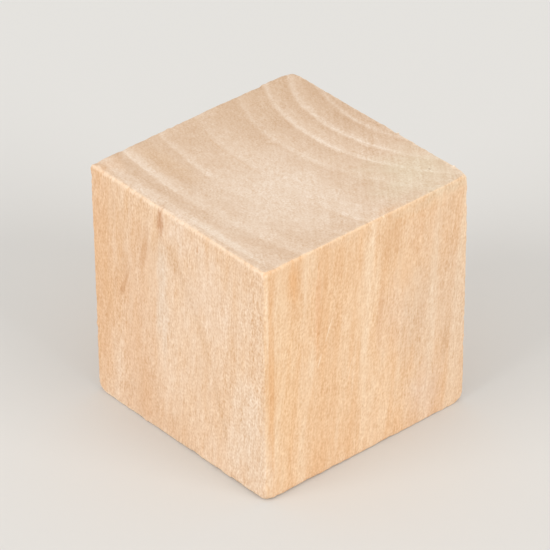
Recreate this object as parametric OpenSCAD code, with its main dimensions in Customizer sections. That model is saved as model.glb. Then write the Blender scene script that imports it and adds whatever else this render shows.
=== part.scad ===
// Wooden cube: a one-inch block of pale hardwood, sawn to length and lightly tumbled.
// The grain stands upright, so the top and the base are end grain and the four sides are long grain.
// The origin is the centre of the base, +X is to the right, +Y to the back and +Z up.

/* [Block] */
// Width of the square stick, from side to side
width_x = 25.4; // [12:0.1:52]
// Depth of the square stick, from front to back
depth_y = 25.0; // [12:0.1:52]
// Length that the stick was sawn to, along the grain
height_z = 25.9; // [12:0.1:52]

/* [Wear] */
// Radius that tumbling left on the twelve edges
edge_radius = 0.4; // [0.1:0.05:1.5]
// How far each corner is worn back, measured along its diagonal
corner_wear = 0.6; // [0.2:0.05:0.9]
// Distance from a corner to the centre of the ball that its worn end follows, along each edge
corner_reach = 3; // [3:0.1:6]

/* [Finish] */
// Colour of the bare wood
wood_colour = "#EDCBA2"; // [#EDCBA2:Cream, #D9B380:Honey, #E7CCB2:Pale]

/* [Hidden] */
// Fineness of the rounds
$fn = 96;
// The ball that a worn corner follows
corner_ball_radius = corner_reach * sqrt(3) - corner_wear;
// Overlap that carries a cut clear of the surface it cuts
cut_clearance = 1;

// Outline of the stick seen along one axis: a rectangle with its corners rounded to the edge radius
module worn_outline(across, up) {
    square([across - 2 * edge_radius, up], center = true);
    square([across, up - 2 * edge_radius], center = true);
    for (side = [-1, 1], end = [-1, 1])
        translate([side * (across / 2 - edge_radius), end * (up / 2 - edge_radius)])
            circle(r = edge_radius);
}

// The block with its twelve edges rounded, centred on the origin
module edged_block() {
    intersection() {
        linear_extrude(height_z, center = true)
            worn_outline(width_x, depth_y);
        rotate([90, 0, 0])
            linear_extrude(depth_y, center = true)
                worn_outline(width_x, height_z);
        rotate([90, 0, 90])
            linear_extrude(width_x, center = true)
                worn_outline(depth_y, height_z);
    }
}

// What wear took off one corner: the end of the block that lies outside the ball
module corner_waste() {
    difference() {
        cube(corner_reach + cut_clearance);
        sphere(r = corner_ball_radius);
    }
}

// The one solid piece
module wooden_cube() {
    color(wood_colour)
        translate([0, 0, height_z / 2])
            difference() {
                edged_block();
                for (x = [0, 1], y = [0, 1], z = [0, 1])
                    mirror([x, 0, 0])
                        mirror([0, y, 0])
                            mirror([0, 0, z])
                                translate([width_x, depth_y, height_z] / 2 - corner_reach * [1, 1, 1])
                                    corner_waste();
            }
}

wooden_cube();
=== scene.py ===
"""Wooden cube: a one-inch block of pale hardwood, sawn to length, tumbled and left bare.

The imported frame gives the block's size and place. This script gives it its look: the worn edges and
corners, the small chips and raised fibres on them, and the figure of the wood. The figure runs right through
the block, so the growth rings on the end grain carry on as the bands down the four sides.

Sizes of the wood are in millimetres, and the finished mesh is in metres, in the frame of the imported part.
"""

import logging
import math
import random
from dataclasses import dataclass, field
from enum import Enum
from typing import NamedTuple

import bmesh
import bpy
from mathutils import Euler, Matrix, Vector, kdtree, noise


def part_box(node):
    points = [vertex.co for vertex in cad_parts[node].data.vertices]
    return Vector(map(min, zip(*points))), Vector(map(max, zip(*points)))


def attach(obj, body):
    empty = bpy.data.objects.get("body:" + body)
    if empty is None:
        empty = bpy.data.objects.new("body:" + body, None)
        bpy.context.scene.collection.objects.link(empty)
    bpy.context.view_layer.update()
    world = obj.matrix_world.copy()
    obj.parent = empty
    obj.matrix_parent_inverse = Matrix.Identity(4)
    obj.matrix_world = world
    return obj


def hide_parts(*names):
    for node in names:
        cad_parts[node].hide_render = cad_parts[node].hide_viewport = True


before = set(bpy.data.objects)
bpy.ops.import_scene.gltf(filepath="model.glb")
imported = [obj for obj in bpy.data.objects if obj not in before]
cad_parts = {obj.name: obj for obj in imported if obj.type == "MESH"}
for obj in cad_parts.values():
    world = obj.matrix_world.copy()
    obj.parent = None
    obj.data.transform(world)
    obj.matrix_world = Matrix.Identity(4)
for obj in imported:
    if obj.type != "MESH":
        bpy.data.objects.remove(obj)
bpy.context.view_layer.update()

# A millimetre, in metres.
MM = 0.001
NODE = "wooden_cube"
BODY = "root"
# The name under which a finished model's flat map is kept.
BAKE_MAP = "OFBake"
log = logging.getLogger("wooden_cube")
SMOOTH = {"interpolation_type": "SMOOTHSTEP"}
# Noise runs from 0 to 1, and swings about this.
NOISE_MIDDLE = 0.5
Tree = bpy.types.NodeTree
Wire = bpy.types.NodeSocket


class Side(Enum):
    """The six faces of the block: outward axis, its sign, and the cell that the face takes in the map."""

    TOP = (2, 1, (0, 1))
    BASE = (2, -1, (1, 1))
    FRONT = (1, -1, (0, 0))
    BACK = (1, 1, (1, 0))
    LEFT = (0, -1, (2, 0))
    RIGHT = (0, 1, (2, 1))

    @property
    def axis(self) -> int:
        """The axis that the face looks along."""
        return self.value[0]

    @property
    def sign(self) -> int:
        """Whether it looks up or down that axis."""
        return self.value[1]

    @property
    def cell(self) -> tuple[int, int]:
        """Column and row of the face in the map."""
        return self.value[2]

    @classmethod
    def of(cls, normal: Vector) -> "Side":
        """Find the side that a flat face belongs to.

        Args:
            normal: The face's outward normal.

        Returns:
            The side that looks the same way.
        """
        axis = max(range(3), key=lambda i: abs(normal[i]))
        sign = 1 if normal[axis] > 0 else -1
        return next(side for side in cls if side.axis == axis and side.sign == sign)


def linear(colour: str) -> tuple[float, float, float, float]:
    """Turn an sRGB hex colour into the linear colour that a shader takes.

    Args:
        colour: The colour as "#RRGGBB".

    Returns:
        Linear red, green and blue, and an alpha of 1.
    """
    values = [int(colour[i:i + 2], 16) / 255 for i in (1, 3, 5)]
    bent = [v / 12.92 if v <= 0.04045 else ((v + 0.055) / 1.055) ** 2.4 for v in values]
    return (bent[0], bent[1], bent[2], 1.0)


def add_node(
    tree: Tree,
    kind: str,
    *values: "Wire | float | tuple",
    named: dict | None = None,
    stops: tuple = (),
    **settings: object,
) -> Wire | None:
    """Add a node with its settings and links.

    Args:
        tree: The node tree to add to.
        kind: The node's type, without the word ShaderNode.
        values: For each input in use, in order: its value, or the output to link to it.
        named: The same for inputs by name.
        stops: Place and colour of each stop of a ramp.
        settings: The node's own properties.

    Returns:
        Its first output in use, if it has one.
    """
    made = tree.nodes.new(f"ShaderNode{kind}")
    for name, setting in settings.items():
        setattr(made, name, setting)
    in_use = [socket for socket in made.inputs if socket.enabled]
    by_name = [(made.inputs[name], value) for name, value in (named or {}).items()]
    for socket, value in list(zip(in_use, values)) + by_name:
        if isinstance(value, Wire):
            tree.links.new(value, socket)
        else:
            socket.default_value = value
    for number, (place, colour) in enumerate(stops):
        ramp = made.color_ramp.elements
        # A new ramp holds two stops.
        stop = ramp[number] if number < 2 else ramp.new(place)
        stop.position = place
        stop.color = colour
    return next((socket for socket in made.outputs if socket.enabled), None)


def smooth_step(low: float, high: float, value: float) -> float:
    """Rise smoothly from 0 at low to 1 at high.

    Args:
        low: Where the rise starts.
        high: Where it ends; it may be below low, and the step then falls.
        value: Where to read it.

    Returns:
        The height of the step, from 0 to 1.
    """
    share = min(max((value - low) / (high - low), 0.0), 1.0)
    return share * share * (3 - 2 * share)


def read_along(profile: tuple[tuple[float, float], ...], place: float) -> float:
    """Read a value that changes evenly between given places.

    Args:
        profile: Place and value of each point, in order.
        place: Where to read it.

    Returns:
        The value there.
    """
    for (start, first), (end, last) in zip(profile, profile[1:]):
        if place <= end:
            share = max((place - start) / (end - start), 0.0)
            return first + (last - first) * share
    return profile[-1][1]


class Fade(NamedTuple):
    """A smooth change from one value to another between two places.

    Attributes:
        start: Where it starts.
        end: Where it ends.
        first: Its value before the start.
        last: Its value past the end.
    """

    start: float
    end: float
    first: float = 0.0
    last: float = 1.0


@dataclass(frozen=True)
class Swing:
    """A smooth random swing about 0.

    Attributes:
        cell: Size of its waves along X, Y and Z, in millimetres.
        width: How far apart its two ends are.
    """

    cell: tuple[float, float, float]
    width: float


@dataclass(frozen=True)
class Mark:
    """A local stain, fleck or faded patch in the wood: an ellipsoid with a ragged edge, in millimetres.

    Attributes:
        centre: Its middle, in the block's frame.
        reach: Its half sizes along X, Y and Z.
        colour: The colour that it turns the wood to.
        strength: How far it turns it, from 0 to 1.
        lean: How far it leans off the grain, as a turn about X and about Y in degrees.
        core: How much of it is at full strength, from 0 to 1.
    """

    centre: tuple[float, float, float]
    reach: tuple[float, float, float]
    colour: str
    strength: float
    lean: tuple[float, float] = (0.0, 0.0)
    core: float = 0.3


@dataclass(frozen=True)
class LateLine:
    """A thin dark line where a year's late wood ends, in millimetres.

    Attributes:
        ring: Its ring position.
        half_width: Half its width.
        depth: How dark it is, from 0 to 1.
    """

    ring: float
    half_width: float
    depth: float


@dataclass(frozen=True)
class GrainLayer:
    """One scale of light and dark in the wood: cells drawn out along the grain.

    Attributes:
        cell: Size of the cells along X, Y and Z, in millimetres.
        on_side: How much they lighten and darken the long grain.
        on_end: How much they lighten and darken the end grain.
        turn: Turn of the cells about Z, in degrees.
        detail: Finer cells inside each cell.
        follows_rings: Whether X is taken across the rings, so that the cells bend with them.
    """

    cell: tuple[float, float, float]
    on_side: float
    on_end: float
    turn: float = 0.0
    detail: float = 1.0
    follows_rings: bool = False


@dataclass(frozen=True)
class EdgeWearAndHighlight:
    """Pale wear and a painted highlight along the edges where two pairs of faces meet.

    Attributes:
        faces: The axes that the two faces look along.
        reach: How far from the edge the wood changes, in millimetres.
        strength: How much it changes, from 0 to 1.
        colour: What it changes to.
    """

    faces: tuple[int, int]
    reach: float
    strength: float
    colour: str


@dataclass(frozen=True)
class BareBasswood:
    """Basswood, sawn, lightly sanded and tumbled, with no finish on it.

    To the eye it is a matt cream wood. Pale thin lines end each year's ring, fine fibres run up the sides,
    and the end grain is greyer, because there the light goes into the open ends of the cells. Its places and
    sizes are in millimetres, in the block's frame.
    """

    low: Vector
    high: Vector
    # Ring position, in millimetres from the block's middle, and the tone there, from DARKEST to PALEST.
    # Each year darkens slowly and ends in a sudden pale line.
    ring_tones: tuple[tuple[float, float], ...] = (
        (-13.4, 0.5),
        (-12.85, 0.36),
        (-12.1, 0.68),
        (-11.5, 0.6),
        (-10.7, 0.28),
        (-10.1, 0.38),
        (-9.75, 0.72),
        (-9.2, 0.66),
        (-8.1, 0.3),
        (-7.2, 0.44),
        (-6.1, 0.38),
        (-5.7, 0.68),
        (-4.9, 0.5),
        (-3.0, 0.47),
        (-2.2, 0.46),
        (-1.4, 0.64),
        (-0.4, 0.59),
        (1.2, 0.45),
        (2.6, 0.34),
        (3.1, 0.68),
        (3.7, 0.52),
        (5.6, 0.26),
        (6.0, 0.9),
        (6.5, 0.58),
        (8.0, 0.28),
        (8.45, 0.9),
        (8.95, 0.58),
        (10.6, 0.26),
        (11.05, 0.92),
        (11.5, 0.52),
        (12.9, 0.3),
        (13.4, 0.9),
    )
    late_lines: tuple[LateLine, ...] = (
        LateLine(-12.57, 0.055, 0.22),
        LateLine(-1.95, 0.08, 0.3),
        LateLine(3.45, 0.07, 0.22),
    )
    layers: tuple[GrainLayer, ...] = (
        # Cell ends and short fibres: 0.03 mm in the wood, drawn 0.17 mm wide, as fine as it shows.
        GrainLayer((0.17, 0.17, 0.29), 0.37, 0.27, detail=0.0),
        # Vessels, a millimetre long where the surface cuts them, and clusters of them.
        GrainLayer((0.16, 0.16, 1.3), 0.25, 0.04, detail=0.0),
        GrainLayer((0.42, 0.42, 0.9), 0.13, 0.15),
        # Long fibres, a fifth of a millimetre wide.
        GrainLayer((0.24, 0.24, 3.5), 0.12, 0.06),
        # Short scratches of the saw across the ends.
        GrainLayer((0.6, 0.2, 30.0), 0.0, 0.24, turn=58.0),
        # Rows of cells, which show on the end grain as hairlines along the rings.
        GrainLayer((0.19, 1.7, 2.0), 0.0, 0.14, follows_rings=True),
        # Bundles of fibres.
        GrainLayer((1.3, 1.3, 9.0), 0.08, 0.08, detail=2.0),
        # Cloudy patches where the sanding went deeper.
        GrainLayer((3.5, 3.5, 6.0), 0.07, 0.06, detail=2.0),
    )
    # The saw crossed the ends at a slant, and left fine lines about a third of a millimetre apart.
    saw_lines: GrainLayer = GrainLayer((6.0, 0.4, 30.0), 0.0, 0.28, turn=52.0)
    marks: tuple[Mark, ...] = (
        # Left side: warm along the back edge and low down, and paler by the front edge.
        Mark((-12.7, 12.5, 14.0), (4.0, 6.0, 20.0), "#E0AA76", 0.5, core=0.1),
        Mark((-12.7, 5.6, 11.0), (2.0, 3.6, 16.0), "#DFAE82", 0.4, core=0.1),
        Mark((-12.7, 5.0, 2.5), (2.0, 5.5, 6.0), "#DAAB80", 0.42, core=0.1),
        Mark((-12.7, -0.2, 2.0), (2.0, 3.2, 5.0), "#DDB186", 0.34, core=0.1),
        Mark((-12.7, -10.0, 5.0), (2.0, 4.5, 10.0), "#EEDAC5", 0.5, core=0.1),
        Mark((-12.7, -4.5, 19.0), (2.0, 5.0, 7.0), "#F0D7C0", 0.42, core=0.1),
        Mark((-12.7, -0.5, 24.5), (2.0, 3.5, 4.0), "#F0D9C4", 0.4, core=0.1),
        # The dark fleck, the pale streak under it, a streak that leans off the grain, and a speck.
        Mark((-12.7, 2.2, 14.9), (0.9, 1.4, 8.4), "#E7D1BC", 0.55, core=0.1),
        Mark((-12.7, 1.9, 19.5), (0.9, 1.5, 3.6), "#EAD3BC", 0.4, core=0.1),
        Mark((-12.7, 2.25, 24.4), (1.0, 0.64, 2.4), "#C08557", 0.64, core=0.15),
        Mark((-12.7, 7.8, 15.2), (0.9, 1.5, 4.5), "#DCA672", 0.34, core=0.1),
        Mark((-12.7, 7.9, 14.4), (0.8, 0.4, 3.0), "#C68E5B", 0.42, (21.0, 0.0)),
        Mark((-12.7, 4.7, 20.0), (0.8, 0.65, 3.4), "#CF9C6E", 0.36, (12.0, 0.0)),
        Mark((-12.7, -3.1, 23.9), (0.5, 0.22, 0.6), "#CC9562", 0.5),
        # Front: greyer wood to the right, orange streaks to the left, and brown patches by the pale band.
        Mark((11.0, -12.5, 11.0), (8.5, 6.0, 19.0), "#DEC2A7", 0.58, core=0.1),
        Mark((3.5, -12.5, 14.0), (3.0, 2.0, 7.0), "#DDBBA0", 0.35, core=0.1),
        Mark((-10.6, -12.5, 11.0), (3.5, 1.5, 17.0), "#EBC08F", 0.3, core=0.1),
        Mark((-11.9, -12.5, 12.0), (0.5, 0.8, 14.0), "#E0A468", 0.35),
        Mark((-12.4, -12.5, 20.5), (0.28, 0.5, 6.5), "#FADFBF", 0.55),
        Mark((-9.2, -12.5, 23.4), (0.85, 1.2, 3.2), "#E3A76B", 0.44, core=0.2),
        Mark((-6.2, -12.5, 19.0), (0.5, 1.0, 7.0), "#DE9F68", 0.35, (0.0, 2.0)),
        Mark((2.9, -12.5, 23.2), (2.4, 2.2, 5.0), "#D9AC80", 0.45, core=0.2),
        Mark((1.6, -12.5, 15.0), (0.55, 1.0, 5.5), "#D8A980", 0.4, (0.0, 4.0)),
        Mark((0.1, -12.5, 20.5), (1.05, 1.8, 8.5), "#F2D7B8", 0.4, (0.0, 3.5), core=0.1),
        Mark((10.0, -12.5, 8.3), (0.5, 0.9, 3.4), "#CDA47C", 0.4, (0.0, 5.0)),
        Mark((8.4, -12.5, 12.0), (0.7, 0.9, 11.0), "#EFD8BE", 0.3, (0.0, 3.0)),
        Mark((7.5, -12.5, 3.0), (3.5, 2.0, 5.5), "#E6CDB9", 0.4, core=0.1),
        Mark((6.2, -12.5, 12.0), (2.6, 2.0, 8.0), "#D9BFA6", 0.35, core=0.1),
        Mark((7.0, -12.5, 22.0), (4.5, 2.0, 4.5), "#E6C6A8", 0.35, core=0.1),
        # Fine scratches.
        Mark((-4.9, -12.5, 16.1), (0.09, 0.3, 1.7), "#FBE6CC", 0.6, (0.0, 20.0)),
        Mark((-6.0, -12.5, 13.2), (0.09, 0.3, 1.1), "#FBE6CC", 0.5, (0.0, 20.0)),
        Mark((-2.2, -12.5, 10.6), (0.09, 0.3, 1.4), "#FBE6CC", 0.5, (0.0, 17.0)),
        # Top: faded middle, pale by the left edge, and painted shade that makes it darker towards the back.
        Mark((-3.0, -3.5, 26.0), (9.5, 9.0, 3.0), "#E3CDB7", 0.7, core=0.2),
        Mark((9.0, -9.0, 26.0), (7.0, 6.0, 3.0), "#DBCAAE", 0.62, core=0.1),
        # Painted shade: these darken the top towards the back and the right.
        Mark((12.5, 4.0, 26.0), (5.5, 11.0, 3.0), "#C7A585", 0.5, core=0.1),
        Mark((-11.6, -5.5, 26.0), (0.6, 7.5, 1.2), "#EBD9C5", 0.5),
        Mark((-7.3, 8.0, 26.0), (1.9, 6.0, 2.5), "#D2AE88", 0.35, core=0.2),
        Mark((6.0, 11.5, 26.0), (16.0, 9.0, 6.0), "#C8A684", 0.45, core=0.1),
        Mark((10.5, -9.4, 25.9), (0.13, 0.16, 0.2), "#9A7856", 0.5, core=0.6),
        # The raised fibres on its right edge.
        Mark((12.6, -10.5, 25.85), (0.2, 0.14, 0.2), "#FFF3E2", 0.9, core=0.6),
        Mark((12.6, -2.7, 25.85), (0.2, 0.16, 0.2), "#FFF3E2", 0.9, core=0.6),
    )
    # The pith stands beyond the right side, this far back. The rings bend round it, tighter towards it, and
    # lie further to the left the lower they are, least so at the left side.
    pith_y: float = 2.4
    bend: float = 0.0452
    bend_gain: float = 0.00266
    lean: float = 0.0706
    lean_gain: float = 0.0032
    # The rings waver slowly and quickly. They run truer at the left side, where this share of it is left.
    ring_wavers: tuple[tuple[Swing, float], ...] = (
        (Swing((8.0, 8.0, 45.0), 1.1), 0.1),
        (Swing((0.7, 0.7, 5.0), 0.24), 0.4),
    )
    off_left_side: Fade = Fade(-12.7, -6.0)
    # Towards the front, one ring swings out by 2 mm and squeezes the one before it.
    bulge_rise: Fade = Fade(-7.2, -3.4)
    bulge_fall: Fade = Fade(-3.4, 2.4, 1.0, 0.0)
    bulge_forward: Fade = Fade(-12.5, 0.5, 2.0, 0.0)
    # A ring shows more in some stretches of the block than in others.
    ring_strength: float = 0.95
    ring_patches: Swing = Swing((5.0, 5.0, 20.0), 1.7)
    # Rings show less in the right front, and the second and third from the left mostly behind the middle.
    # Each pair gives the share that is lost along Y, and the ring positions that lose it.
    faint_rings: tuple[tuple[Fade, Fade], ...] = (
        (Fade(-5.5, 1.5, 0.42, 0.0), Fade(-0.5, 2.5)),
        (Fade(0.5, 5.5, 0.5, 0.0), Fade(-2.5, -5.0)),
    )
    # Bundles of fibres are warmer or paler than their neighbours. Less of it shows at their ends.
    bundles: Swing = Swing((0.9, 0.9, 9.0), 0.63)
    bundles_lost_on_end: float = 0.62
    # Late wood shows in some stretches and fades out in others. A line is darkest this near its middle.
    late_strength: float = 0.7
    late_patches: Swing = Swing((2.0, 2.0, 5.0), 4.0)
    late_core: float = 0.01
    # The saw's lines show more and more towards the right front.
    saw_shows: Fade = Fade(-10.0, 16.0)
    # The surface is rough in some places and smooth in others, and roughest by the flat-sawn faces' front
    # edge.
    grain_strength: float = 1.03
    grain_patches: Swing = Swing((2.5, 2.5, 7.0), 1.2)
    grain_forward: Fade = Fade(-10.0, -3.0, 0.46, 0.1)
    # The marks have ragged rims: this many lobes across a half size, this many scales of finer lobes, and
    # this deep, as a share of the half size.
    rim_lobes: float = 2.2
    rim_detail: float = 3.0
    rim_depth: float = 1.1
    # The darkest wood, its own colour and its palest lines, as each kind of face shows them.
    quarter_sawn: tuple[str, str, str] = ("#DDA771", "#E8C199", "#F1D8BA")
    flat_sawn: tuple[str, str, str] = ("#E0B180", "#EAC8A7", "#F0D6BD")
    end_grain: tuple[str, str, str] = ("#C4A07E", "#D9BDA2", "#EFDDCA")
    late_wood: str = "#C4935F"
    # Only what looks straight along the grain is end grain. The rounding beside it shows the fibres' sides.
    looks_along: Fade = Fade(0.78, 0.98)
    looks_across: Fade = Fade(0.45, 0.9)
    # The fibres run 6 degrees off the block's upright towards the right, and 4 degrees towards the front.
    fibre_lean: Euler = Euler((math.radians(-4.0), math.radians(-6.0), 0.0))
    # The finest grain changes blue most and red least, because pale fibres are also the least yellow.
    grain_tint: tuple[float, float, float] = (0.62, 1.03, 1.5)
    # The edges are painted paler: partly fibres crushed by rubbing, partly a painted highlight where the
    # rounded edges catch the light, which also brightens the base. The flat-sawn faces crush palest against
    # the end grain, and the edges along the grain hardly change.
    edge_wear_and_highlight_bands: tuple[EdgeWearAndHighlight, ...] = (
        EdgeWearAndHighlight((0, 2), 0.5, 0.55, "#FBE3C9"),
        EdgeWearAndHighlight((1, 2), 0.34, 0.3, "#F5D6B2"),
        EdgeWearAndHighlight((0, 1), 0.34, 0.16, "#F6DDBB"),
    )
    # The pale band of wear and painted highlight is ragged and comes in patches. It is at its full strength
    # this near the edge.
    edge_band_rim: Swing = Swing((0.42, 0.42, 0.42), 0.9)
    edge_band_patches: Swing = Swing((3.0, 3.0, 3.0), 1.6)
    edge_band_strength: float = 0.85
    edge_band_core: float = 0.05
    # Raised fibres and open cells stand about a fiftieth of a millimetre high on tumbled basswood, and what
    # stands up is rubbed smoother than what lies low.
    relief: float = 0.02
    rough_low: float = 0.78
    rough_high: float = 0.62
    ior: float = 1.5

    # Tones of the darkest wood, the wood's own colour and its palest lines.
    DARKEST = 0.0
    OWN = 0.5
    PALEST = 1.0
    # Ring positions that the tones are spread over, wide enough for every corner of the block.
    RING_LOW = -14.0
    RING_HIGH = 14.0

    def material(self) -> bpy.types.Material:
        """Build the material.

        Returns:
            The finished material.
        """
        made = bpy.data.materials.new("basswood_sawn_and_tumbled")
        made.use_nodes = True
        tree = made.node_tree
        tree.nodes.clear()
        place = add_node(tree, "TexCoord").node.outputs
        point = add_node(tree, "VectorMath", place["Object"], 1 / MM, operation="SCALE")
        facing = add_node(tree, "SeparateXYZ", place["Normal"]).node.outputs
        upright = add_node(tree, "Math", facing["Z"], operation="ABSOLUTE")
        sideways = add_node(tree, "Math", facing["X"], operation="ABSOLUTE")
        end_share = add_node(tree, "MapRange", upright, *self.looks_along, **SMOOTH)
        flat_share = add_node(tree, "MapRange", sideways, *self.looks_across, **SMOOTH)
        ring = self.ring_position(tree, point)
        tone = self.ring_tone(tree, point, ring, end_share)
        dressed = []
        for dark, own, pale in (self.quarter_sawn, self.flat_sawn, self.end_grain):
            stops = ((self.DARKEST, linear(dark)), (self.PALEST, linear(pale)), (self.OWN, linear(own)))
            dressed.append(add_node(tree, "ValToRGB", tone, stops=stops))
        quarter, flat, end = dressed
        sides = add_node(tree, "Mix", flat_share, quarter, flat, data_type="RGBA")
        colour = add_node(tree, "Mix", end_share, sides, end, data_type="RGBA")
        colour = self.late_wood_lines(tree, point, ring, colour)
        for mark in self.marks:
            colour = self.stained(tree, point, colour, mark)
        light, height = self.grain(tree, point, ring, end_share, flat_share)
        tint = add_node(tree, "VectorMath", self.grain_tint, light, operation="SCALE")
        colour = add_node(tree, "VectorMath", colour, tint, colour, operation="MULTIPLY_ADD")
        colour = self.paint_edge_wear_and_highlight(tree, point, colour)
        relief = {"Strength": 1.0, "Distance": self.relief * MM, "Height": height}
        bump = add_node(tree, "Bump", named=relief)
        rough = add_node(tree, "MapRange", height, 0.0, 1.0, self.rough_low, self.rough_high)
        surface = {"Base Color": colour, "Roughness": rough, "Normal": bump, "IOR": self.ior}
        add_node(tree, "OutputMaterial", add_node(tree, "BsdfPrincipled", named=surface))
        return made

    def ring_position(self, tree: Tree, point: Wire) -> Wire:
        """Work out how far across the rings a point lies.

        Args:
            tree: The node tree to add to.
            point: The place, in millimetres.

        Returns:
            The ring position, in millimetres.
        """
        x, y, z = add_node(tree, "SeparateXYZ", point).node.outputs
        below = add_node(tree, "Math", self.high.z, z, operation="SUBTRACT")
        slope = add_node(tree, "Math", x, self.lean_gain, self.lean, operation="MULTIPLY_ADD")
        leant = add_node(tree, "Math", slope, below, x, operation="MULTIPLY_ADD")
        untrue = add_node(tree, "MapRange", x, *self.off_left_side, **SMOOTH)
        for swing, least in self.ring_wavers:
            waver = self.waver(tree, point, swing)
            share = add_node(tree, "Math", untrue, 1.0 - least, least, operation="MULTIPLY_ADD")
            leant = add_node(tree, "Math", waver, share, leant, operation="MULTIPLY_ADD")
        beside = add_node(tree, "Math", y, self.pith_y, operation="SUBTRACT")
        square = add_node(tree, "Math", beside, beside, operation="MULTIPLY")
        straightened = add_node(tree, "Math", square, -self.bend / 2, leant, operation="MULTIPLY_ADD")
        spread = add_node(tree, "Math", square, self.bend_gain / 2, 1.0, operation="MULTIPLY_ADD")
        ring = add_node(tree, "Math", straightened, spread, operation="DIVIDE")
        rise = add_node(tree, "MapRange", ring, *self.bulge_rise, **SMOOTH)
        fall = add_node(tree, "MapRange", ring, *self.bulge_fall, **SMOOTH)
        forward = add_node(tree, "MapRange", y, *self.bulge_forward, **SMOOTH)
        bulge = add_node(tree, "Math", rise, fall, operation="MULTIPLY")
        return add_node(tree, "Math", bulge, forward, ring, operation="MULTIPLY_ADD")

    def waver(self, tree: Tree, point: Wire, swing: Swing) -> Wire:
        """Draw a smooth random swing.

        Args:
            tree: The node tree to add to.
            point: The place, in millimetres.
            swing: Its size and width.

        Returns:
            The swing at the place, about 0.
        """
        at = add_node(tree, "Mapping", point, named={"Scale": [1 / size for size in swing.cell]})
        value = add_node(tree, "TexNoise", at, 1.0, 1.0)
        return add_node(tree, "MapRange", value, 0.0, 1.0, -swing.width / 2, swing.width / 2, clamp=False)

    def ring_tone(self, tree: Tree, point: Wire, ring: Wire, end_share: Wire) -> Wire:
        """Read the rings' tone.

        Args:
            tree: The node tree to add to.
            point: The place, in millimetres.
            ring: The ring position, in millimetres.
            end_share: How far the surface looks along the grain.

        Returns:
            The tone, from DARKEST to PALEST.
        """
        span = self.RING_HIGH - self.RING_LOW
        # The two end stops come first, because a new ramp has those.
        tones = (self.ring_tones[0], self.ring_tones[-1]) + self.ring_tones[1:-1]
        stops = tuple(((at - self.RING_LOW) / span, (tone, tone, tone, 1.0)) for at, tone in tones)
        share = add_node(tree, "MapRange", ring, self.RING_LOW, self.RING_HIGH)
        read = add_node(tree, "ValToRGB", share, stops=stops)
        patchy = self.waver(tree, point, self.ring_patches)
        strength = add_node(tree, "Math", patchy, self.ring_strength, operation="ADD", use_clamp=True)
        y = add_node(tree, "SeparateXYZ", point).node.outputs["Y"]
        for loss, rings in self.faint_rings:
            in_front = add_node(tree, "MapRange", y, *loss, **SMOOTH)
            among = add_node(tree, "MapRange", ring, *rings, **SMOOTH)
            lost = add_node(tree, "Math", in_front, among, operation="MULTIPLY")
            kept = add_node(tree, "Math", 1.0, lost, operation="SUBTRACT")
            strength = add_node(tree, "Math", strength, kept, operation="MULTIPLY")
        off = add_node(tree, "Math", read, self.OWN, operation="SUBTRACT")
        fibres = add_node(tree, "Mapping", point, named={"Rotation": self.fibre_lean})
        bundles = self.waver(tree, fibres, self.bundles)
        seen = add_node(tree, "Math", end_share, -self.bundles_lost_on_end, 1.0, operation="MULTIPLY_ADD")
        base = add_node(tree, "Math", bundles, seen, self.OWN, operation="MULTIPLY_ADD")
        return add_node(tree, "Math", off, strength, base, operation="MULTIPLY_ADD")

    def late_wood_lines(self, tree: Tree, point: Wire, ring: Wire, colour: Wire) -> Wire:
        """Draw the thin dark lines of late wood.

        Args:
            tree: The node tree to add to.
            point: The place, in millimetres.
            ring: The ring position, in millimetres.
            colour: The colour under them.

        Returns:
            The colour with the lines.
        """
        patchy = self.waver(tree, point, self.late_patches)
        for line in self.late_lines:
            fade = Fade(self.late_core, line.half_width, line.depth, 0.0)
            off = add_node(tree, "Math", ring, line.ring, operation="SUBTRACT")
            away = add_node(tree, "Math", off, operation="ABSOLUTE")
            inside = add_node(tree, "MapRange", away, *fade, **SMOOTH)
            shown = add_node(tree, "Math", patchy, self.late_strength, operation="ADD", use_clamp=True)
            share = add_node(tree, "Math", inside, shown, operation="MULTIPLY")
            colour = add_node(tree, "Mix", share, colour, linear(self.late_wood), data_type="RGBA")
        return colour

    def grain(
        self, tree: Tree, point: Wire, ring: Wire, end_share: Wire, flat_share: Wire
    ) -> tuple[Wire, Wire]:
        """Lay the scales of grain over each other.

        Args:
            tree: The node tree to add to.
            point: The place, in millimetres.
            ring: The ring position, in millimetres.
            end_share: How far the surface looks along the grain.
            flat_share: How far it looks across the rings.

        Returns:
            How much the grain brightens the wood, about 0, and the height of its finest scales.
        """
        light = 0.0
        values = []
        x, y, z = add_node(tree, "SeparateXYZ", point).node.outputs
        bent = add_node(tree, "CombineXYZ", ring, y, z)
        fibres = add_node(tree, "Mapping", point, named={"Rotation": self.fibre_lean})
        rightward = add_node(tree, "Math", x, y, operation="SUBTRACT")
        sawn = add_node(tree, "MapRange", rightward, *self.saw_shows, **SMOOTH)
        for layer in self.layers + (self.saw_lines,):
            turn = Euler((0.0, 0.0, math.radians(-layer.turn)))
            start = bent if layer.follows_rings else fibres
            turned = add_node(tree, "Mapping", start, named={"Rotation": turn})
            at = add_node(tree, "Mapping", turned, named={"Scale": [1 / size for size in layer.cell]})
            value = add_node(tree, "TexNoise", at, 1.0, layer.detail)
            amount = add_node(tree, "MapRange", end_share, 0.0, 1.0, layer.on_side, layer.on_end)
            if layer is self.saw_lines:
                amount = add_node(tree, "Math", amount, sawn, operation="MULTIPLY")
            swing = add_node(tree, "Math", value, NOISE_MIDDLE, operation="SUBTRACT")
            light = add_node(tree, "Math", swing, amount, light, operation="MULTIPLY_ADD")
            values.append(value)
        patchy = self.waver(tree, point, self.grain_patches)
        forward = add_node(tree, "MapRange", y, *self.grain_forward, **SMOOTH)
        gain = add_node(tree, "Math", flat_share, forward, self.grain_strength, operation="MULTIPLY_ADD")
        gain = add_node(tree, "Math", gain, patchy, operation="ADD")
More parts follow.
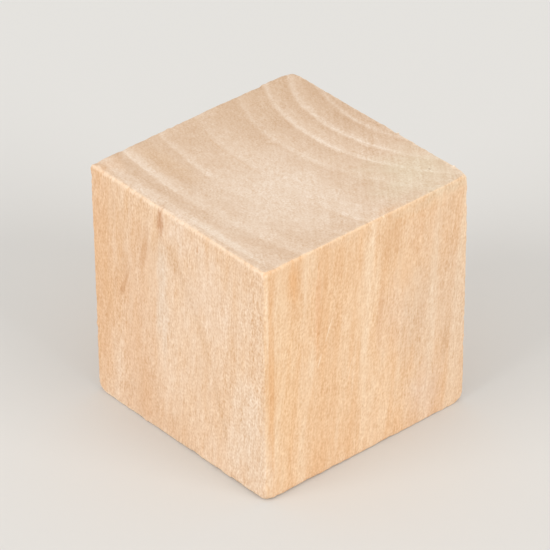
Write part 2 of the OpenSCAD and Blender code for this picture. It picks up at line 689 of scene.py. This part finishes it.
        light = add_node(tree, "Math", light, gain, operation="MULTIPLY")
        # The cell ends and the clusters of vessels stand up in equal parts.
        cell_ends, _, clusters = values[:3]
        return light, add_node(tree, "Mix", 0.5, cell_ends, clusters)

    def stained(self, tree: Tree, point: Wire, colour: Wire, mark: Mark) -> Wire:
        """Lay a mark over the wood.

        Args:
            tree: The node tree to add to.
            point: The place, in millimetres.
            colour: The colour under it.
            mark: The mark.

        Returns:
            The colour with the mark.
        """
        turn = Euler([math.radians(angle) for angle in mark.lean] + [0.0])
        inside = add_node(tree, "Mapping", point, mark.centre, turn, mark.reach, vector_type="TEXTURE")
        ragged = add_node(tree, "TexNoise", inside, self.rim_lobes, self.rim_detail)
        swing = add_node(tree, "Math", ragged, NOISE_MIDDLE, operation="SUBTRACT")
        away = add_node(tree, "VectorMath", inside, operation="LENGTH")
        away = add_node(tree, "Math", swing, self.rim_depth, away, operation="MULTIPLY_ADD")
        share = add_node(tree, "MapRange", away, mark.core, 1.0, mark.strength, 0.0, **SMOOTH)
        return add_node(tree, "Mix", share, colour, linear(mark.colour), data_type="RGBA")

    def paint_edge_wear_and_highlight(self, tree: Tree, point: Wire, colour: Wire) -> Wire:
        """Pale the wood along its edges, where they are rubbed and where their rounding catches the light.

        The cut ends of the fibres along the top and the base are crushed pale, and a painted highlight lies
        along them too. The edges that run with the grain show it far less.

        Args:
            tree: The node tree to add to.
            point: The place, in millimetres.
            colour: The colour under the wear and the painted highlight.

        Returns:
            The colour with the pale worn edges and their painted highlight.
        """
        middle, half = (self.low + self.high) / 2, (self.high - self.low) / 2
        depth = []
        for axis, part in enumerate(add_node(tree, "SeparateXYZ", point).node.outputs):
            off = add_node(tree, "Math", part, middle[axis], operation="SUBTRACT")
            out = add_node(tree, "Math", off, operation="ABSOLUTE")
            depth.append(add_node(tree, "Math", half[axis], out, operation="SUBTRACT"))
        ragged = self.waver(tree, point, self.edge_band_rim)
        patchy = self.waver(tree, point, self.edge_band_patches)
        patchy = add_node(tree, "Math", patchy, self.edge_band_strength, operation="ADD", use_clamp=True)
        for edge in self.edge_wear_and_highlight_bands:
            one, other = (depth[axis] for axis in edge.faces)
            away = add_node(tree, "Math", one, other, operation="MAXIMUM")
            away = add_node(tree, "Math", away, ragged, operation="ADD")
            fade = Fade(self.edge_band_core, edge.reach, edge.strength, 0.0)
            share = add_node(tree, "MapRange", away, *fade, **SMOOTH)
            share = add_node(tree, "Math", share, patchy, operation="MULTIPLY")
            # Each edge's pale band is partly wear and partly a painted highlight.
            colour = add_node(tree, "Mix", share, colour, linear(edge.colour), data_type="RGBA")
        return colour


@dataclass(frozen=True)
class Knock:
    """A place where an edge is chipped, or where a fibre stands up from it, in millimetres.

    Attributes:
        centre: Its middle, in the block's frame.
        reach: How far it spreads.
        depth: How deep it is; a fibre that stands up has it below 0.
    """

    centre: tuple[float, float, float]
    reach: float
    depth: float


@dataclass
class WornBlock:
    """The block itself, modelled in millimetres.

    Attributes:
        low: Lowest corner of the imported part.
        high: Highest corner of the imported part.
        rows: Rows of faces across a side.
        edge_rows: How many of them lie in the band along each edge.
        edge_band: Width of that band, where the rows are close enough to hold the rounding.
        edge_wear: Radius that each edge is worn to at places along it. Its key is the axis that it runs
            along and the signs of its place on the other two.
        least_wear: The smallest radius that anything is worn to.
        edge_softness: Over what distance the wear of one edge passes into that of its neighbours.
        wear_swings: How the wear swings slowly and quickly: waves in a millimetre, and how far.
        corner_radii: Radius that each corner is worn to, by the signs of its place.
        corner_core: How far from a corner its wear is at its fullest.
        corner_blend: How far from a corner its own wear reaches.
        inset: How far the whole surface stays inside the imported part's box.
        relief: How deep the saw and the tumbling left the faces uneven.
        relief_mean: The share of that depth at which the surface lies on average.
        relief_swings: Size of its wide and fine bumps, and the share of the depth that each makes.
        relief_stretch: How many times longer the bumps are along the grain than across it.
        knocks: Chips and raised fibres at known places.
        knock_core: How far from its middle each is at its full depth.
        small_knocks: How many more fall at random along the edges.
        chip_share: The share of those that are chips. The others are short fibres.
        chip_reach: How far a small chip spreads, at least and at most.
        chip_depth: How deep it is, at least and at most.
        fibre_reach: How far a short fibre spreads.
        fibre_height: How high it stands, at least and at most.
        edge_inset: How far inside the sharp edge the middle of a small chip or fibre lies.
        map_margin: The strip left bare round each side in the map, as a share of its cell.
        seed: Seed of everything that falls at random.
    """

    low: Vector
    high: Vector
    rows: int = 124
    edge_rows: int = 13
    edge_band: float = 1.3
    edge_wear: dict[tuple[int, int, int], tuple[tuple[float, float], ...]] = field(
        default_factory=lambda: {
            (0, -1, -1): ((-12.7, 0.54), (12.7, 0.12)),
            (0, -1, 1): ((-12.7, 0.46), (-6.0, 0.24), (12.7, 0.16)),
            (0, 1, -1): ((-12.7, 0.26), (12.7, 0.46)),
            (0, 1, 1): ((-12.7, 0.43), (12.7, 0.28)),
            (1, -1, -1): ((-12.5, 0.54), (12.5, 0.21)),
            (1, -1, 1): ((-12.5, 0.46), (-7.5, 0.38), (12.5, 0.32)),
            (1, 1, -1): ((-12.5, 0.26), (12.5, 0.41)),
            (1, 1, 1): ((-12.5, 0.30), (12.5, 0.51)),
            (2, -1, -1): ((0.0, 0.46), (13.0, 0.26), (25.9, 0.32)),
            (2, -1, 1): ((0.0, 0.56), (25.9, 0.31)),
            (2, 1, -1): ((0.0, 0.54), (20.0, 0.3), (24.0, 0.4), (25.9, 0.6)),
            (2, 1, 1): ((0.0, 0.36), (25.9, 0.41)),
        }
    )
    least_wear: float = 0.08
    edge_softness: float = 0.2
    wear_swings: tuple[tuple[float, float], tuple[float, float]] = ((0.35, 0.09), (2.2, 0.126))
    corner_radii: dict[tuple[int, int, int], float] = field(
        default_factory=lambda: {
            (-1, -1, -1): 0.62,
            (1, -1, -1): 0.75,
            (-1, 1, -1): 0.8,
            (1, 1, -1): 0.7,
            (-1, -1, 1): 0.5,
            (1, -1, 1): 0.55,
            (-1, 1, 1): 0.25,
            (1, 1, 1): 0.8,
        }
    )
    corner_core: float = 0.3
    corner_blend: float = 1.4
    inset: float = 0.004
    relief: float = 0.016
    relief_mean: float = 0.5
    relief_swings: tuple[tuple[float, float], tuple[float, float]] = ((2.6, 0.3), (0.9, 0.2))
    relief_stretch: float = 3.0
    knocks: tuple[Knock, ...] = (
        # A flat and a nub beside the left back corner of the top, and steps in the corner below it.
        Knock((-12.1, 12.4, 25.85), 0.8, 0.12),
        Knock((-12.65, 12.45, 25.35), 0.3, -0.08),
        Knock((-12.6, 12.45, 24.6), 0.4, 0.05),
        Knock((-12.6, 12.45, 0.75), 0.28, -0.1),
        Knock((-12.5, 12.35, 0.25), 0.3, 0.07),
        # Two fibres on the right edge of the top.
        Knock((12.6, -10.5, 25.8), 0.2, -0.15),
        Knock((12.6, -2.7, 25.8), 0.2, -0.15),
        # The flat nose of the front bottom corner.
        Knock((-12.5, -12.3, 0.15), 0.6, 0.1),
    )
    knock_core: float = 0.12
    small_knocks: int = 150
    chip_share: float = 0.85
    chip_reach: tuple[float, float] = (0.25, 0.75)
    chip_depth: tuple[float, float] = (0.015, 0.06)
    fibre_reach: float = 0.3
    fibre_height: tuple[float, float] = (0.02, 0.06)
    edge_inset: float = 0.1
    map_margin: float = 0.006
    seed: int = 7

    def build(self) -> bpy.types.Object:
        """Model the block and put it in the scene.

        Returns:
            The block's object, at the origin, with its place in its mesh.
        """
        mesh = bmesh.new()
        self.saw(mesh)
        self.lay_map(mesh)
        self.wear(mesh)
        bmesh.ops.scale(mesh, vec=(MM, MM, MM), verts=mesh.verts)
        data = bpy.data.meshes.new("worn_block")
        mesh.to_mesh(data)
        mesh.free()
        data.shade_smooth()
        made = bpy.data.objects.new("worn_block", data)
        bpy.context.scene.collection.objects.link(made)
        return made

    def saw(self, mesh: bmesh.types.BMesh) -> None:
        """Cut the sharp block into rows of faces that are closer along its edges.

        Args:
            mesh: The empty mesh to fill.
        """
        bmesh.ops.create_cube(mesh, size=2.0)
        bmesh.ops.subdivide_edges(mesh, edges=mesh.edges, cuts=self.rows - 1, use_grid_fill=True)
        middle, half = (self.low + self.high) / 2, (self.high - self.low) / 2
        turn = 1 - 2 * self.edge_rows / self.rows
        for vert in mesh.verts:
            for axis in range(3):
                share = abs(vert.co[axis])
                inner = half[axis] - self.edge_band
                if share <= turn:
                    out = share / turn * inner
                else:
                    out = inner + (share - turn) / (1 - turn) * self.edge_band
                vert.co[axis] = middle[axis] + math.copysign(out, vert.co[axis])

    def lay_map(self, mesh: bmesh.types.BMesh) -> None:
        """Lay the six flat sides side by side in the map, with the grain along its rows.

        Args:
            mesh: The sharp block.
        """
        layer = mesh.loops.layers.uv.new(BAKE_MAP)
        columns = 1 + max(side.cell[0] for side in Side)
        lines = 1 + max(side.cell[1] for side in Side)
        size = self.high - self.low
        mesh.normal_update()
        for face in mesh.faces:
            side = Side.of(face.normal)
            across, along = [axis for axis in range(3) if axis != side.axis]
            for loop in face.loops:
                place = loop.vert.co - self.low
                # Fibres run along Z, so the side's width goes up the map, where a cell has more room.
                u = self.map_margin + place[along] / size[along] * (1 - 2 * self.map_margin)
                v = self.map_margin + place[across] / size[across] * (1 - 2 * self.map_margin)
                loop[layer].uv = ((side.cell[0] + u) / columns, (side.cell[1] + v) / lines)

    def radius_at(self, place: Vector) -> float:
        """Say how far the edges are worn at a place.

        Args:
            place: A point of the sharp block.

        Returns:
            The radius there.
        """
        middle = (self.low + self.high) / 2
        signs = tuple(1 if place[axis] > middle[axis] else -1 for axis in range(3))
        corner = Vector([self.high[axis] if signs[axis] > 0 else self.low[axis] for axis in range(3)])
        off = [abs(place[axis] - corner[axis]) for axis in range(3)]
        total = weights = 0.0
        for axis in range(3):
            one, other = [number for number in range(3) if number != axis]
            # Each of the corner's three edges counts by how near it is.
            weight = 1 / (max(off[one], off[other]) ** 2 + self.edge_softness ** 2)
            total += weight * read_along(self.edge_wear[axis, signs[one], signs[other]], place[axis])
            weights += weight
        edge = total / weights
        for (waves, reach), shift in zip(self.wear_swings, ((self.seed, 0, 0), (0, self.seed, 0))):
            edge += reach * noise.noise(place * waves + Vector(shift))
        near = smooth_step(self.corner_blend, self.corner_core, (place - corner).length)
        return max(edge + (self.corner_radii[signs] - edge) * near, self.least_wear)

    def relief_at(self, place: Vector) -> float:
        """Say how deep the surface is uneven at a place.

        Args:
            place: A point of the sharp block.

        Returns:
            The depth there, from 0 up.
        """
        along = Vector((place.x, place.y, place.z / self.relief_stretch))
        share = self.relief_mean
        for (size, part), shift in zip(self.relief_swings, ((0, 0, self.seed), (self.seed, self.seed, 0))):
            share += part * noise.noise(along / size + Vector(shift))
        return self.relief * share

    def wear(self, mesh: bmesh.types.BMesh) -> None:
        """Round the edges and corners of the sharp block, and roughen it.

        Args:
            mesh: The sharp block.
        """
        near_edge = kdtree.KDTree(len(mesh.verts))
        outward = []
        for vert in mesh.verts:
            place = vert.co.copy()
            radius = self.radius_at(place)
            inner = Vector([self.kept_inside(place[axis], axis, radius) for axis in range(3)])
            outward.append((place - inner).normalized())
            vert.co = inner + outward[-1] * (radius - self.inset - self.relief_at(place))
            near_edge.insert(vert.co, vert.index)
        near_edge.balance()
        mesh.verts.ensure_lookup_table()
        for knock in self.knocks + self.random_knocks():
            for _, index, distance in near_edge.find_range(knock.centre, knock.reach):
                share = smooth_step(knock.reach, self.knock_core, distance)
                moved = mesh.verts[index].co - outward[index] * knock.depth * share
                for axis in range(3):
                    mesh.verts[index].co[axis] = self.kept_inside(moved[axis], axis, self.inset)

    def kept_inside(self, value: float, axis: int, margin: float) -> float:
        """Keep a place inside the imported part's box.

        Args:
            value: The place along the axis.
            axis: Which axis.
            margin: How far inside it has to stay.

        Returns:
            The nearest place that is far enough inside.
        """
        return min(max(value, self.low[axis] + margin), self.high[axis] - margin)

    def random_knocks(self) -> tuple[Knock, ...]:
        """Scatter small chips along the edges, and a few short fibres.

        Returns:
            The chips and fibres.
        """
        draw = random.Random(self.seed)
        inset = self.edge_inset
        edges = [(low + inset, high - inset) for low, high in zip(self.low, self.high)]
        found = []
        for _ in range(self.small_knocks):
            axis = draw.randrange(3)
            centre = [draw.choice(pair) for pair in edges]
            centre[axis] = draw.uniform(self.low[axis], self.high[axis])
            reach = draw.uniform(*self.chip_reach)
            chipped = draw.random() < self.chip_share
            depth = draw.uniform(*self.chip_depth) if chipped else -draw.uniform(*self.fibre_height)
            found.append(Knock(tuple(centre), reach if chipped else self.fibre_reach, depth))
        return tuple(found)


@dataclass(frozen=True)
class MattBoard:
    """White painted board, sprayed matt: a plain pale ground with no shine."""

    colour: str = "#D8D6D2"
    roughness: float = 0.9
    shine: float = 0.1

    def material(self) -> bpy.types.Material:
        """Build the material.

        Returns:
            The finished material.
        """
        made = bpy.data.materials.new("painted_board_sprayed_matt")
        made.use_nodes = True
        shader = made.node_tree.nodes["Principled BSDF"]
        shader.inputs["Base Color"].default_value = linear(self.colour)
        shader.inputs["Roughness"].default_value = self.roughness
        shader.inputs["Specular IOR Level"].default_value = self.shine
        return made


@dataclass(frozen=True)
class Lamp:
    """A broad lamp.

    Attributes:
        name: What it is for.
        azimuth: Where it stands round the block, in degrees from the front.
        elevation: How high it stands, in degrees.
        strength: How bright it is.
    """

    name: str
    azimuth: float
    elevation: float
    strength: float


@dataclass
class Studio:
    """The floor, the light and the camera, in metres.

    Attributes:
        low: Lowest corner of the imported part.
        high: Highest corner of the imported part.
        azimuth: Where the camera stands round the block, in degrees from the front.
        elevation: How high it looks down from.
        roll: How far it is turned about its own line of sight.
        distance: How far it stands from the block's middle.
        lens: Focal length, on a sensor 36 mm wide.
        aim: How far it looks past the middle, to its right and up.
        nearest: Nothing nearer to the camera than this shows.
        furthest: Nothing further from it does.
        floor_width: Width of the floor.
        sky_strength: How bright the white room is all round.
        lamps: The lamps in it.
        lamp_width: How broad each lamp looks from the block, in degrees.
    """

    low: Vector
    high: Vector
    azimuth: float = -40.831
    elevation: float = 34.133
    roll: float = -0.448
    distance: float = 0.4095
    lens: float = 281.1
    aim: tuple[float, float] = (-0.00045, 0.00075)
    nearest: float = 0.02
    furthest: float = 40.0
    floor_width: float = 12.0
    sky_strength: float = 0.78
    lamps: tuple[Lamp, ...] = (
        Lamp("key_lamp", -98.0, 34.0, 1.02),
        Lamp("fill_lamp", 12.0, 28.0, 1.08),
        Lamp("top_lamp", -30.0, 80.0, 0.05),
    )
    lamp_width: float = 35.0

    def build(self) -> None:
        """Set the floor, the light and the camera."""
        self.lay_floor()
        self.light()
        self.set_camera()

    def lay_floor(self) -> None:
        """Lay the floor that the block stands on."""
        mesh = bmesh.new()
        bmesh.ops.create_grid(mesh, x_segments=1, y_segments=1, size=self.floor_width / 2)
        bmesh.ops.translate(mesh, vec=(0, 0, self.low.z), verts=mesh.verts)
        data = bpy.data.meshes.new("floor")
        mesh.to_mesh(data)
        mesh.free()
        floor = bpy.data.objects.new("floor", data)
        floor.data.materials.append(MattBoard().material())
        bpy.context.scene.collection.objects.link(floor)

    def light(self) -> None:
        """Light the block from all round, with a lamp on each side of the camera and one above."""
        scene = bpy.context.scene
        scene.view_settings.view_transform = "Standard"
        world = bpy.data.worlds.new("studio")
        world.use_nodes = True
        sky = world.node_tree.nodes["Background"]
        sky.inputs["Color"].default_value = (1.0, 1.0, 1.0, 1.0)
        sky.inputs["Strength"].default_value = self.sky_strength
        scene.world = world
        for lamp in self.lamps:
            data = bpy.data.lights.new(lamp.name, "SUN")
            data.energy = lamp.strength
            data.angle = math.radians(self.lamp_width)
            stand = bpy.data.objects.new(lamp.name, data)
            stand.rotation_euler = Euler((math.radians(90 - lamp.elevation), 0, math.radians(lamp.azimuth)))
            scene.collection.objects.link(stand)

    def set_camera(self) -> None:
        """Set the camera at its angle to the block."""
        middle = (self.low + self.high) / 2
        azimuth, elevation, roll = map(math.radians, (self.azimuth, self.elevation, self.roll))
        turned = Euler((math.pi / 2 - elevation, 0.0, azimuth)).to_matrix()
        turned = turned @ Euler((0.0, 0.0, roll)).to_matrix()
        right, up, back = turned.col[0], turned.col[1], turned.col[2]
        data = bpy.data.cameras.new("camera")
        data.lens = self.lens
        data.clip_start = self.nearest
        data.clip_end = self.furthest
        camera = bpy.data.objects.new("camera", data)
        camera.location = middle + back * self.distance + right * self.aim[0] + up * self.aim[1]
        camera.rotation_euler = turned.to_euler()
        bpy.context.scene.collection.objects.link(camera)
        bpy.context.scene.camera = camera


def main() -> None:
    """Build the block, dress it, and set the studio round it."""
    logging.basicConfig(level=logging.INFO, format="%(name)s: %(message)s")
    low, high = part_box(NODE)
    block = WornBlock(low / MM, high / MM).build()
    block.data.materials.append(BareBasswood(low / MM, high / MM).material())
    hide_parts(NODE)
    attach(block, BODY)
    log.info("%s: %d faces, rides on %s", block.name, len(block.data.polygons), BODY)
    Studio(low, high).build()
    log.info("studio set")


if __name__ == "__main__":
    main()
